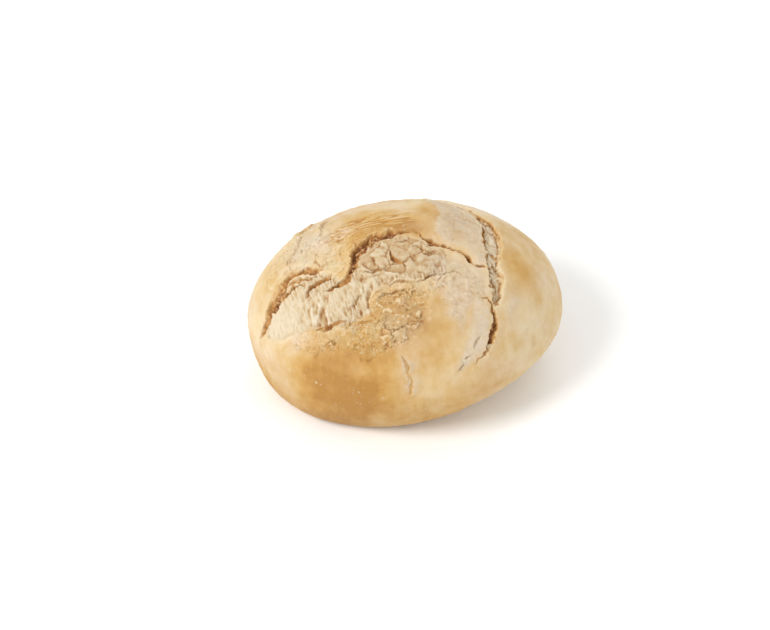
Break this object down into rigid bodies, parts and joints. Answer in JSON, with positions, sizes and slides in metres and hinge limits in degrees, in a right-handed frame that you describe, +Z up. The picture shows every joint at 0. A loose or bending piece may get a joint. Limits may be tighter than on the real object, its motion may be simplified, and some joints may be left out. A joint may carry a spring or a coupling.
{
  "type": "bread roll",
  "caption": "Oval crusty bread roll, pale golden, with a burst seam along the top, a cross tear, flaky torn crumb and a flat base.",
  "frame": {"origin": "on the flat base, under the middle of the roll's length and width", "axes": "+X along the roll towards its fuller, overhanging end; +Y across it; +Z up"},
  "size_m": [0.1094, 0.0896, 0.0566],
  "materials": {
    "crust": "matte"
  },
  "bodies": {
    "root": {"bread_roll": "crust"}
  },
  "joints": []
}
